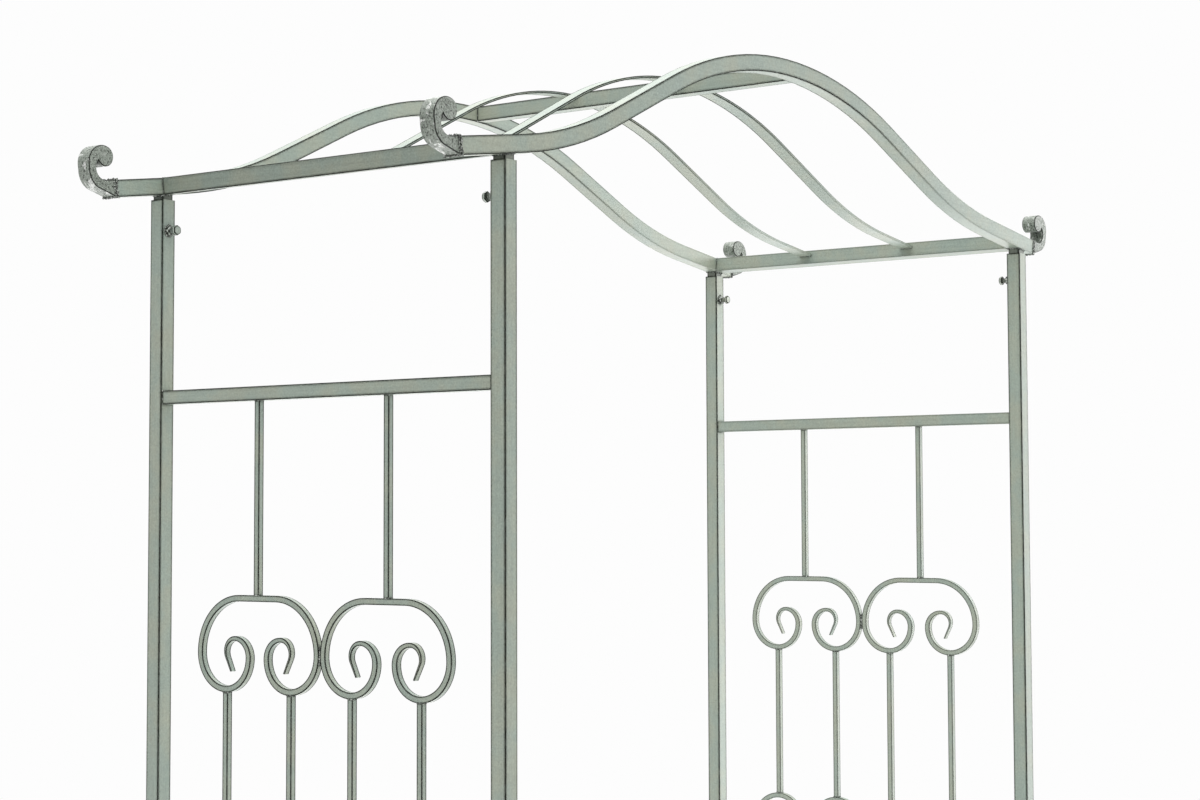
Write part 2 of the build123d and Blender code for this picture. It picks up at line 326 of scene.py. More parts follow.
    def build(self, lie: Lie) -> bpy.types.Material:
        """Build the enamel for pieces that lie that way.

        Args:
            lie: How the piece lies.

        Returns:
            The material.
        """
        material, tree = new_material(f"{self.name}_{lie.name.lower()}")
        coords = add_node(tree, "ShaderNodeTexCoord").outputs["Object"]
        grain = add_node(tree, "ShaderNodeTexNoise",
                         {"Vector": coords, "Scale": per_mm(self.grain_mm), "Detail": 4.0,
                          "Roughness": 0.7}).outputs[0]
        enamel = add_node(tree, "ShaderNodeMix",
                          {0: 1.0, 6: self.tint(tree, coords),
                           7: self.shade(tree, coords, lie, grain)},
                          data_type="RGBA", blend_type="MULTIPLY")
        dark = self.bared_and_shaded(tree, coords, lie)
        colour = add_node(tree, "ShaderNodeMix",
                          {0: dark, 6: enamel.outputs[2], 7: linear(self.undercoat)},
                          data_type="RGBA")
        satin = Ramp(self.grain_low, self.grain_high, self.roughness - self.roughness_play,
                     self.roughness + self.roughness_play)
        gloss = add_node(tree, "ShaderNodeMapRange", satin.of(grain))
        matt = add_node(tree, "ShaderNodeMapRange",
                        {0: dark, 3: gloss.outputs[0], 4: self.undercoat_roughness})
        shine = add_node(tree, "ShaderNodeMapRange",
                         {0: dark, 3: PAINT_SHINE, 4: self.undercoat_shine})
        peel = add_node(tree, "ShaderNodeTexNoise",
                        {"Vector": coords, "Scale": per_mm(self.peel_mm), "Detail": 3.0})
        bump = add_node(tree, "ShaderNodeBump",
                        {"Height": peel.outputs[0], "Strength": self.peel_strength,
                         "Distance": self.peel_depth_mm * MM})
        surface = add_node(tree, "ShaderNodeBsdfPrincipled",
                           {"Base Color": colour.outputs[2], "Roughness": matt.outputs[0],
                            "Specular IOR Level": shine.outputs[0],
                            "Normal": bump.outputs[0]})
        add_node(tree, "ShaderNodeOutputMaterial", {"Surface": surface.outputs[0]})
        return material


@dataclass(frozen=True)
class CastIron:
    """Sand-cast iron under the same enamel.

    To the eye it is rough and pitted, dark in its hollows, with pale patches where the paint
    was rubbed, most of them on the rim and few on the flat sides. Moulding sand leaves a
    grain of about 0.3 mm, too fine to show, so it is drawn at about 2 mm.
    """

    name: str = "enamelled_sand_casting"
    enamel: str = "#98A196"
    shadow: str = "#5A6158"
    rubbed: str = "#E6E8E4"
    undercoat: str = "#1C1F1A"
    undercoat_shine: float = 0.1
    roughness: float = 0.4
    corner_reach_mm: float = 2.2
    corner_where: Ramp = Ramp(0.14, 0.34)
    sand_mm: float = 1.9
    sand_where: Ramp = Ramp(0.36, 0.6)
    sand_depth_mm: float = 0.8
    sand_strength: float = 0.8
    pit_mm: float = 3.0
    pit_where: Ramp = Ramp(0.46, 0.39, 0.0, 0.85)
    patch_mm: float = 11.0
    patch_start: float = 0.56
    patch_full: float = 0.61
    rubbed_by_flatness: Ramp = Ramp(0.3, 0.8, 0.9, 0.15)
    painted_shade_reach_mm: float = 15.0
    painted_shade_where: Ramp = Ramp(0.76, 0.42, 0.0, 0.9)

    def painted(self, tree: bpy.types.NodeTree, where: bpy.types.Node,
                sand: bpy.types.NodeSocket) -> bpy.types.NodeSocket:
        """Mix the enamel with its dark hollows and its rubbed patches.

        Args:
            tree: The material's node tree.
            where: The node that gives coordinates and normals.
            sand: The sand's grain.

        Returns:
            The colour's output socket.
        """
        patches = add_node(tree, "ShaderNodeTexNoise",
                           {"Vector": where.outputs["Object"], "Scale": per_mm(self.patch_mm),
                            "Detail": 6.0, "Roughness": 0.6, "Distortion": 0.6})
        height = add_node(tree, "ShaderNodeMapRange", self.sand_where.of(sand))
        enamel = add_node(tree, "ShaderNodeMix",
                          {0: height.outputs[0], 6: linear(self.shadow),
                           7: linear(self.enamel)}, data_type="RGBA")
        faces = add_node(tree, "ShaderNodeSeparateXYZ", {0: where.outputs["Normal"]})
        flat = add_node(tree, "ShaderNodeMath",
                        {0: faces.outputs[Lie.OVERHEAD.side_axis]}, operation="ABSOLUTE")
        most = add_node(tree, "ShaderNodeMapRange", self.rubbed_by_flatness.of(flat.outputs[0]))
        bare = add_node(tree, "ShaderNodeMapRange",
                        {0: patches.outputs[0], 1: self.patch_start, 2: self.patch_full,
                         3: 0.0, 4: most.outputs[0]})
        colour = add_node(tree, "ShaderNodeMix",
                          {0: bare.outputs[0], 6: enamel.outputs[2], 7: linear(self.rubbed)},
                          data_type="RGBA")
        return colour.outputs[2]

    def bared_and_shaded(self, tree: bpy.types.NodeTree,
              coords: bpy.types.NodeSocket) -> bpy.types.NodeSocket:
        """Mask of the undercoat on the corners and in the pits, and of painted shade in the
        crevices.

        Args:
            tree: The material's node tree.
            coords: Object coordinates.

        Returns:
            The mask's output socket.
        """
        pits = add_node(tree, "ShaderNodeTexNoise",
                        {"Vector": coords, "Scale": per_mm(self.pit_mm), "Detail": 3.0,
                         "Roughness": 0.7})
        pitted = add_node(tree, "ShaderNodeMapRange", self.pit_where.of(pits.outputs[0]))
        edge = corner_mask(tree, Lie.OVERHEAD.side_axis, self.corner_reach_mm,
                           self.corner_where)
        # Painted shade: ambient occlusion darkens the hollows, such as the mouth of the curl, to
        # the undercoat's colour.
        painted_shade = crevice_shade_mask(tree, self.painted_shade_reach_mm, self.painted_shade_where)
        open_dark = add_node(tree, "ShaderNodeMath", {0: edge, 1: pitted.outputs[0]},
                             operation="MAXIMUM")
        dark = add_node(tree, "ShaderNodeMath", {0: open_dark.outputs[0], 1: painted_shade},
                        operation="MAXIMUM")
        return dark.outputs[0]

    def build(self) -> bpy.types.Material:
        """Build the casting's finish.

        Returns:
            The material.
        """
        material, tree = new_material(self.name)
        where = add_node(tree, "ShaderNodeTexCoord")
        coords = where.outputs["Object"]
        sand = add_node(tree, "ShaderNodeTexNoise",
                        {"Vector": coords, "Scale": per_mm(self.sand_mm), "Detail": 5.0,
                         "Roughness": 0.75}).outputs[0]
        cells = add_node(tree, "ShaderNodeTexVoronoi",
                         {"Vector": coords, "Scale": per_mm(self.pit_mm), "Randomness": 1.0})
        dark = self.bared_and_shaded(tree, coords)
        colour = add_node(tree, "ShaderNodeMix",
                          {0: dark, 6: self.painted(tree, where, sand),
                           7: linear(self.undercoat)}, data_type="RGBA")
        shine = add_node(tree, "ShaderNodeMapRange",
                         {0: dark, 3: PAINT_SHINE, 4: self.undercoat_shine})
        relief = add_node(tree, "ShaderNodeMath",
                          {0: sand, 1: cells.outputs["Distance"]}, operation="ADD")
        bump = add_node(tree, "ShaderNodeBump",
                        {"Height": relief.outputs[0], "Strength": self.sand_strength,
                         "Distance": self.sand_depth_mm * MM})
        surface = add_node(tree, "ShaderNodeBsdfPrincipled",
                           {"Base Color": colour.outputs[2], "Roughness": self.roughness,
                            "Specular IOR Level": shine.outputs[0],
                            "Normal": bump.outputs[0]})
        add_node(tree, "ShaderNodeOutputMaterial", {"Surface": surface.outputs[0]})
        return material


@dataclass(frozen=True)
class WeldScale:
    """Arc-welded steel: the weld's oxide scale under thin enamel.

    To the eye it is dark and blotchy, with painted shade between the beads and a few near-white
    flecks of painted highlight, standing for glints on the beads. Scale breaks up in flecks of
    under 1 mm, too fine to show, so they are drawn at two millimetres and more.
    """

    name: str = "enamelled_weld_bead"
    oxide: str = "#1E201B"
    oxide_shine: float = 0.1
    enamel: str = "#7B8479"
    # In this finish, the colour of the painted highlights: near-white glints on the beads.
    rubbed: str = "#D4D7D2"
    glint_from: float = 0.58
    glint_edge: float = 0.04
    roughness: float = 0.42
    patch_mm: float = 2.4
    cover_where: Ramp = Ramp(0.46, 0.56)
    painted_shade_reach_mm: float = 4.0
    painted_shade_where: Ramp = Ramp(0.7, 0.35, 0.0, 0.85)
    relief_mm: float = 0.5
    relief_strength: float = 0.6

    def build(self) -> bpy.types.Material:
        """Build the weld's finish.

        Returns:
            The material.
        """
        material, tree = new_material(self.name)
        coords = add_node(tree, "ShaderNodeTexCoord").outputs["Object"]
        flecks = add_node(tree, "ShaderNodeTexNoise",
                          {"Vector": coords, "Scale": per_mm(self.patch_mm),
                           "Detail": 4.0}).outputs[0]
        cover = add_node(tree, "ShaderNodeMapRange", self.cover_where.of(flecks))
        covered = add_node(tree, "ShaderNodeMix",
                           {0: cover.outputs[0], 6: linear(self.oxide),
                            7: linear(self.enamel)}, data_type="RGBA")
        # Painted highlight: the palest flecks of the noise turn near-white, standing for glints on
        # the beads.
        glint_ramp = Ramp(self.glint_from, self.glint_from + self.glint_edge)
        glint = add_node(tree, "ShaderNodeMapRange", glint_ramp.of(flecks))
        glinted = add_node(tree, "ShaderNodeMix",
                          {0: glint.outputs[0], 6: covered.outputs[2],
                           7: linear(self.rubbed)}, data_type="RGBA")
        # Painted shade: ambient occlusion darkens the weld between its beads, and the nut in its
        # crevices, to the oxide's colour.
        painted_shade = crevice_shade_mask(tree, self.painted_shade_reach_mm, self.painted_shade_where)
        colour = add_node(tree, "ShaderNodeMix",
                          {0: painted_shade, 6: glinted.outputs[2], 7: linear(self.oxide)},
                          data_type="RGBA")
        shine = add_node(tree, "ShaderNodeMapRange",
                         {0: painted_shade, 3: PAINT_SHINE, 4: self.oxide_shine})
        bump = add_node(tree, "ShaderNodeBump",
                        {"Height": flecks, "Strength": self.relief_strength,
                         "Distance": self.relief_mm * MM})
        surface = add_node(tree, "ShaderNodeBsdfPrincipled",
                           {"Base Color": colour.outputs[2], "Roughness": self.roughness,
                            "Specular IOR Level": shine.outputs[0],
                            "Normal": bump.outputs[0]})
        add_node(tree, "ShaderNodeOutputMaterial", {"Surface": surface.outputs[0]})
        return material


@dataclass(frozen=True)
class MouldedPolyethylene:
    """Injection-moulded polyethylene.

    To the eye it is black, waxy and half matt, with a grain from the mould's spark-eroded
    wall. The real grain is about 0.1 mm, too fine to show, so it is drawn at 0.8 mm.
    """

    name: str = "moulded_polyethylene"
    colour: str = "#1B1C1D"
    roughness: float = 0.5
    grain_mm: float = 0.8
    brightness: Ramp = Ramp(0.3, 0.7, 0.8, 1.5)
    grain_depth_mm: float = 0.1
    grain_strength: float = 0.3

    def build(self) -> bpy.types.Material:
        """Build the plastic.

        Returns:
            The material.
        """
        material, tree = new_material(self.name)
        coords = add_node(tree, "ShaderNodeTexCoord").outputs["Object"]
        grain = add_node(tree, "ShaderNodeTexNoise",
                         {"Vector": coords, "Scale": per_mm(self.grain_mm),
                          "Detail": 3.0}).outputs[0]
        factor = add_node(tree, "ShaderNodeMapRange", self.brightness.of(grain))
        colour = add_node(tree, "ShaderNodeMix",
                          {0: 1.0, 6: linear(self.colour), 7: factor.outputs[0]},
                          data_type="RGBA", blend_type="MULTIPLY")
        bump = add_node(tree, "ShaderNodeBump",
                        {"Height": grain, "Strength": self.grain_strength,
                         "Distance": self.grain_depth_mm * MM})
        surface = add_node(tree, "ShaderNodeBsdfPrincipled",
                           {"Base Color": colour.outputs[2], "Roughness": self.roughness,
                            "Normal": bump.outputs[0]})
        add_node(tree, "ShaderNodeOutputMaterial", {"Surface": surface.outputs[0]})
        return material


@dataclass(frozen=True)
class Finishes:
    """Every finish of the arch, built once."""

    posts: bpy.types.Material
    bars: bpy.types.Material
    rails: bpy.types.Material
    beams: bpy.types.Material
    screws: bpy.types.Material
    nuts: bpy.types.Material
    spigots: bpy.types.Material
    casting: bpy.types.Material
    weld: bpy.types.Material
    plastic: bpy.types.Material

    @classmethod
    def build(cls) -> "Finishes":
        """Build all finishes.

        Thin bar and small screws have a narrower rubbed line than tube. Screws are paler, as a
        painted highlight, and glossier. Spigots are darker, as painted shade, with wider crevice
        shade.

        Returns:
            The set of materials.
        """
        return cls(
            posts=AntiquedPaint("antiqued_post").build(Lie.UPRIGHT),
            # Painted light: the last keyword on bars, rails and beams sets how much of their
            # rubbed line is left on the right side of the arch, where it fades for the brighter
            # light there.
            bars=AntiquedPaint("antiqued_bar", corner_reach_mm=3.7,
                               line_left_in_painted_light=0.7).build(Lie.UPRIGHT),
            rails=AntiquedPaint("antiqued_rail", line_left_in_painted_light=0.5).build(Lie.LENGTHWISE),
            beams=AntiquedPaint("antiqued_beam", line_left_in_painted_light=0.2).build(Lie.OVERHEAD),
            # Painted highlight: the screws' paler enamel stands for the highlights on their heads.
            screws=AntiquedPaint("antiqued_screw", enamel="#AEB6AB", roughness=0.3,
                                 corner_reach_mm=2.6, painted_shade_reach_mm=4.0).build(Lie.CROSSWISE),
            nuts=WeldScale("scaled_nut", enamel="#98A196", patch_mm=3.4).build(),
            # Painted shade: the spigots' darker enamel and their wider crevice darkening stand for
            # the shaded gap under the beam.
            spigots=AntiquedPaint("shade_darkened_tube", enamel="#70786E",
                                  cool_patch="#69736B", warm_patch="#73786B",
                                  painted_shade_reach_mm=9.0).build(Lie.UPRIGHT),
            casting=CastIron().build(),
            weld=WeldScale().build(),
            plastic=MouldedPolyethylene().build(),
        )


def dress(node: str, material: bpy.types.Material) -> None:
    """Give a CAD node its finish.

    Args:
        node: The node's name.
        material: The finish for all its faces.
    """
    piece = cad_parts[node]
    for slot in piece.material_slots:
        slot.material = material
    LOG.info("dressed %s in %s", node, material.name)


@dataclass
class WeldRun:
    """Weld beads laid one after another along the paths of one body's joints."""

    name: str
    body: str
    material: bpy.types.Material
    bead_mm: float = 1.5
    pitch_mm: float = 1.7
    jitter_mm: float = 0.35
    seed: int = 1
    least_swell: float = 0.55
    most_swell: float = 1.25
    corners: list[Vector] = field(default_factory=list)
    edges: list[tuple[int, int]] = field(default_factory=list)

    def along(self, points: Iterable[Vector], closed: bool = True) -> None:
        """Add one path.

        Args:
            points: The path's corners, in metres.
            closed: Whether the last point joins the first.
        """
        first = len(self.corners)
        self.corners.extend(Vector(p) for p in points)
        count = len(self.corners) - first
        steps = count if closed else count - 1
        self.edges.extend((first + i, first + (i + 1) % count) for i in range(steps))

    def around(self, centre: Vector, across: Vector, up: Vector, half_across: float,
               half_up: float) -> None:
        """Add a rectangular path round the end of a bar.

        Args:
            centre: Middle of the bar's end.
            across: Unit vector along one side of the bar's section.
            up: Unit vector along the other side.
            half_across: Half the section's size along the first, in metres.
            half_up: Half its size along the second, in metres.
        """
        signs = ((-1, -1), (1, -1), (1, 1), (-1, 1))
        self.along(centre + across * (half_across * a) + up * (half_up * b) for a, b in signs)

    @staticmethod
    def tree() -> bpy.types.NodeTree:
        """Build the node tree that lays beads on a path, or fetch it if it exists.

        Returns:
            The geometry node tree.
        """
        existing = bpy.data.node_groups.get("weld_beads")
        if existing:
            return existing
        tree = bpy.data.node_groups.new("weld_beads", "GeometryNodeTree")
        sockets = (("Path", "INPUT", "NodeSocketGeometry"), ("Pitch", "INPUT", "NodeSocketFloat"),
                   ("Bead Radius", "INPUT", "NodeSocketFloat"),
                   ("Jitter", "INPUT", "NodeSocketFloat"), ("Seed", "INPUT", "NodeSocketInt"),
                   ("Least Swell", "INPUT", "NodeSocketFloat"),
                   ("Most Swell", "INPUT", "NodeSocketFloat"),
                   ("Finish", "INPUT", "NodeSocketMaterial"),
                   ("Beads", "OUTPUT", "NodeSocketGeometry"))
        for name, direction, kind in sockets:
            tree.interface.new_socket(name, in_out=direction, socket_type=kind)
        given = add_node(tree, "NodeGroupInput").outputs
        path = add_node(tree, "GeometryNodeMeshToCurve", {"Mesh": given["Path"]})
        spaced = add_node(tree, "GeometryNodeResampleCurve",
                          {"Curve": path.outputs[0], "Length": given["Pitch"]}, mode="LENGTH")
        low = add_node(tree, "ShaderNodeMath", {0: given["Jitter"], 1: -1.0}, operation="MULTIPLY")
        shake = add_node(tree, "FunctionNodeRandomValue",
                         {"Min": low.outputs[0], "Max": given["Jitter"], "Seed": given["Seed"]},
                         data_type="FLOAT_VECTOR")
        shaken = add_node(tree, "GeometryNodeSetPosition",
                          {"Geometry": spaced.outputs[0], "Offset": shake.outputs[0]})
        bead = add_node(tree, "GeometryNodeMeshIcoSphere",
                        {"Radius": given["Bead Radius"], "Subdivisions": 1})
        swell = add_node(tree, "FunctionNodeRandomValue",
                         {"Min": given["Least Swell"], "Max": given["Most Swell"],
                          "Seed": given["Seed"]}, data_type="FLOAT_VECTOR")
        beads = add_node(tree, "GeometryNodeInstanceOnPoints",
                         {"Points": shaken.outputs[0], "Instance": bead.outputs[0],
                          "Scale": swell.outputs[0]})
        real = add_node(tree, "GeometryNodeRealizeInstances", {0: beads.outputs[0]})
        smooth = add_node(tree, "GeometryNodeSetShadeSmooth", {0: real.outputs[0]})
        finished = add_node(tree, "GeometryNodeSetMaterial",
                            {0: smooth.outputs[0], "Material": given["Finish"]})
        add_node(tree, "NodeGroupOutput", {0: finished.outputs[0]})
        return tree

    def build(self) -> bpy.types.Object:
        """Lay the beads and let them ride on their body.

        Returns:
            The finished beads as one mesh object.
        """
        path = bpy.data.meshes.new(f"{self.name}_path")
        path.from_pydata(self.corners, self.edges, [])
        piece = bpy.data.objects.new(self.name, path)
        bpy.context.scene.collection.objects.link(piece)
        tree = self.tree()
        layer = piece.modifiers.new("beads", "NODES")
        layer.node_group = tree
        values = {"Pitch": self.pitch_mm * MM, "Bead Radius": self.bead_mm * MM,
                  "Jitter": self.jitter_mm * MM, "Seed": self.seed,
                  "Least Swell": self.least_swell, "Most Swell": self.most_swell,
                  "Finish": self.material}
        for item in tree.interface.items_tree:
            if item.item_type == "SOCKET" and item.name in values:
                layer[item.identifier] = values[item.name]
        bake_modifiers(piece)
        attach(piece, self.body)
        LOG.info("welded %s", self.name)
        return piece


def bake_modifiers(piece: bpy.types.Object) -> None:
    """Replace a piece's mesh by what its modifiers make of it, and remove them.

    Args:
        piece: The object with live modifiers.
    """
    bpy.context.view_layer.update()
    evaluated = piece.evaluated_get(bpy.context.evaluated_depsgraph_get())
    mesh = bpy.data.meshes.new_from_object(evaluated)
    piece.modifiers.clear()
    piece.data = mesh


class Side(Enum):
    """A side of the walk-through, as seen from the front."""

    LEFT = "left"
    RIGHT = "right"


class End(Enum):
    """An end of the walk-through."""

    FRONT = "front"
    BACK = "back"

    @property
    def inward(self) -> int:
        """Direction along Y from a post at this end towards the middle of its panel."""
        return 1 if self is End.FRONT else -1


def middle(node: str) -> Vector:
    """Middle of a CAD node's box, in metres."""
    low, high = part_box(node)
    return (Vector(low) + Vector(high)) / 2


@dataclass
class SidePanel:
    """One ornamental side panel: posts, rails, pickets, scrolls, nuts, caps and welds."""

    side: Side
    finishes: Finishes
    rail_mm: float = 20.0
    picket_mm: float = 9.0
    weld_inset_mm: float = 0.4
    bridge_mm: float = 24.0
    bridge_inset_mm: float = 1.5
    rim_to_widest_mm: float = 81.5
    nut_weld_mm: float = 7.7
    nut_weld_step_deg: int = 15

    def name(self, piece: str) -> str:
        """Full node name of one of this panel's pieces."""
        return f"{self.side.value}_{piece}"

    def dress_nodes(self) -> None:
        """Give every CAD node of the panel its finish."""
        for end in End:
            dress(self.name(f"{end.value}_post"), self.finishes.posts)
            dress(self.name(f"{end.value}_foot_cap"), self.finishes.plastic)
            for piece in ("upper_picket", "bottom_picket", "upper_scroll", "lower_scroll"):
                dress(self.name(f"{end.value}_{piece}"), self.finishes.bars)
        for number in (1, 2, 3, 4):
            dress(self.name(f"middle_picket_{number}"), self.finishes.bars)
        for level in ("top", "bottom"):
            dress(self.name(f"{level}_rail"), self.finishes.rails)
        dress(self.name("clamp_nuts"), self.finishes.nuts)

    def weld_pickets(self) -> None:
        """Lay a bead round both ends of every picket."""
        run = WeldRun(self.name("picket_welds"), "side_panels", self.finishes.weld,
                      bead_mm=1.35, pitch_mm=1.7, seed=3)
        pickets = [f"{end.value}_{piece}" for end in End for piece in
                   ("upper_picket", "bottom_picket")]
        pickets += [f"middle_picket_{number}" for number in (1, 2, 3, 4)]
        half = self.picket_mm / 2 * MM
        for picket in pickets:
            low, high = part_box(self.name(picket))
            for level in (low[2], high[2]):
                centre = Vector(((low[0] + high[0]) / 2, (low[1] + high[1]) / 2, level))
                run.around(centre, Vector((1, 0, 0)), Vector((0, 1, 0)), half, half)
        run.build()

    def weld_rails(self) -> None:
        """Lay a bead round both ends of both rails."""
        run = WeldRun(self.name("rail_welds"), "side_panels", self.finishes.weld,
                      bead_mm=1.2, pitch_mm=1.6, seed=5)
        half = (self.rail_mm / 2 - self.weld_inset_mm) * MM
        for level in ("top", "bottom"):
            low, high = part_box(self.name(f"{level}_rail"))
            centre = middle(self.name(f"{level}_rail"))
            for y in (low[1], high[1]):
                run.around(Vector((centre.x, y, centre.z)), Vector((1, 0, 0)),
                           Vector((0, 0, 1)), half, half)
        run.build()

    def weld_scrolls(self) -> None:
        """Bridge the narrow gap between two scrolls where they are widest."""
        run = WeldRun(self.name("scroll_welds"), "side_panels", self.finishes.weld,
                      bead_mm=2.1, pitch_mm=1.8, jitter_mm=0.5, seed=7)
        for level in ("upper", "lower"):
            low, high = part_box(self.name(f"front_{level}_scroll"))
            reach = self.rim_to_widest_mm * MM
            z = high[2] - reach if level == "upper" else low[2] + reach
            for x in (low[0] + self.bridge_inset_mm * MM, high[0] - self.bridge_inset_mm * MM):
                ends = (Vector((x, 0, z - self.bridge_mm / 2 * MM)),
                        Vector((x, 0, z + self.bridge_mm / 2 * MM)))
                run.along(ends, closed=False)
        run.build()

    def weld_nuts(self) -> None:
        """Lay a bead round the foot of each clamp nut."""
        run = WeldRun(self.name("nut_welds"), "side_panels", self.finishes.weld,
                      bead_mm=2.2, pitch_mm=1.8, jitter_mm=0.8, seed=9)
        reach = self.nut_weld_mm * MM
        for end in End:
            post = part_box(self.name(f"{end.value}_post"))
            face = post[1][1] if end is End.FRONT else post[0][1]
            nut = middle(self.name(f"{end.value}_clamp_bolt"))
            angles = (math.radians(turn) for turn in range(0, 360, self.nut_weld_step_deg))
            run.along(Vector((nut.x + reach * math.cos(angle), face,
                              nut.z + reach * math.sin(angle))) for angle in angles)
        run.build()

    def build(self) -> None:
        """Dress and weld the whole panel."""
        self.dress_nodes()
        self.weld_pickets()
        self.weld_rails()
        self.weld_scrolls()
        self.weld_nuts()


def skin(mesh: bmesh.types.BMesh, rings: list[list[bmesh.types.BMVert]]) -> None:
    """Join rings of points by faces and close both ends.

    Args:
        mesh: The mesh that holds the points.
        rings: The rings in order, all with the same number of points.
    """
    for low, high in zip(rings, rings[1:]):
        for j, corner in enumerate(low):
            k = (j + 1) % len(low)
            mesh.faces.new((corner, low[k], high[k], high[j]))
    mesh.faces.new(reversed(rings[0]))
    mesh.faces.new(rings[-1])


@dataclass
class ClampScrew:
    """A painted M8 hex screw with a rolled thread, one at each roof corner."""

    side: Side
    end: End
    finishes: Finishes
    crest_mm: float = 3.95
    root_mm: float = 3.4
    pitch_mm: float = 1.25
    shank_mm: float = 16.0
    crest_flat: float = 1.3
    tip_share: float = 0.8
    tip_mm: float = 1.2
    across_flats_mm: float = 13.0
    head_mm: float = 5.3
    washer_face_mm: float = 0.35
    washer_face_share: float = 0.93
    chamfer_mm: float = 0.9
    chamfer_share: float = 0.96
    shank_sides: int = 40
    head_sides: int = 48
    rings_per_turn: int = 5

    def thread(self, mesh: bmesh.types.BMesh) -> None:
        """Add the threaded shank from the tip, at zero, up to the head.

        Args:
            mesh: The mesh that gets the shank.
        """
        step = self.pitch_mm / self.rings_per_turn
        count = int(self.shank_mm / step)
        rings = []
        for i in range(count + 1):
            z = i * step
            ring = []
            for j in range(self.shank_sides):
                turn = j / self.shank_sides
                phase = (z / self.pitch_mm - turn) % 1.0
                rise = 1 - abs(2 * phase - 1)
                height = min(1.0, rise * self.crest_flat)
                radius = self.root_mm + (self.crest_mm - self.root_mm) * height
                taper = min(1.0, self.tip_share + (1 - self.tip_share) * z / self.tip_mm)
                angle = math.tau * turn
                ring.append(mesh.verts.new((radius * taper * math.cos(angle) * MM,
                                            radius * taper * math.sin(angle) * MM, z * MM)))
            rings.append(ring)
        skin(mesh, rings)

    def head(self, mesh: bmesh.types.BMesh) -> None:
        """Add the hex head with its chamfered top and washer face.

        Args:
            mesh: The mesh that gets the head.
        """
        half = self.across_flats_mm / 2
        half_side = math.radians(30)
        corner = half / math.cos(half_side)
        washer_face = half * self.washer_face_share
        levels = ((0.0, washer_face), (self.washer_face_mm, washer_face),
                  (self.washer_face_mm, corner), (self.head_mm - self.chamfer_mm, corner),
                  (self.head_mm, half * self.chamfer_share))
        rings = []
        for z, limit in levels:
            ring = []
            for j in range(self.head_sides):
                angle = math.tau * j / self.head_sides
                flat = (angle + half_side) % (2 * half_side) - half_side
                radius = min(limit, half / math.cos(flat))
                ring.append(mesh.verts.new((radius * math.cos(angle) * MM,
                                            radius * math.sin(angle) * MM,
                                            (self.shank_mm + z) * MM)))
            rings.append(ring)
        skin(mesh, rings)

    def build(self) -> bpy.types.Object:
        """Make the screw in place of its CAD node.

        Returns:
            The finished screw.
        """
        node = f"{self.side.value}_{self.end.value}_clamp_bolt"
        low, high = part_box(node)
        shape = bmesh.new()
        self.thread(shape)
        self.head(shape)
        bmesh.ops.recalc_face_normals(shape, faces=shape.faces)
        tip = low[1] if self.end is End.FRONT else high[1]
        turn = Matrix.Rotation(math.radians(-90 * self.end.inward), 4, "X")
        place = Matrix.Translation(((low[0] + high[0]) / 2, tip, (low[2] + high[2]) / 2))
        shape.transform(place @ turn)
        mesh = bpy.data.meshes.new(f"{node}_threaded")
        shape.to_mesh(mesh)
        shape.free()
        mesh.materials.append(self.finishes.screws)
        piece = bpy.data.objects.new(f"{node}_threaded", mesh)
        bpy.context.scene.collection.objects.link(piece)
        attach(piece, node)
        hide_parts(node)
        LOG.info("made %s", piece.name)
        return piece


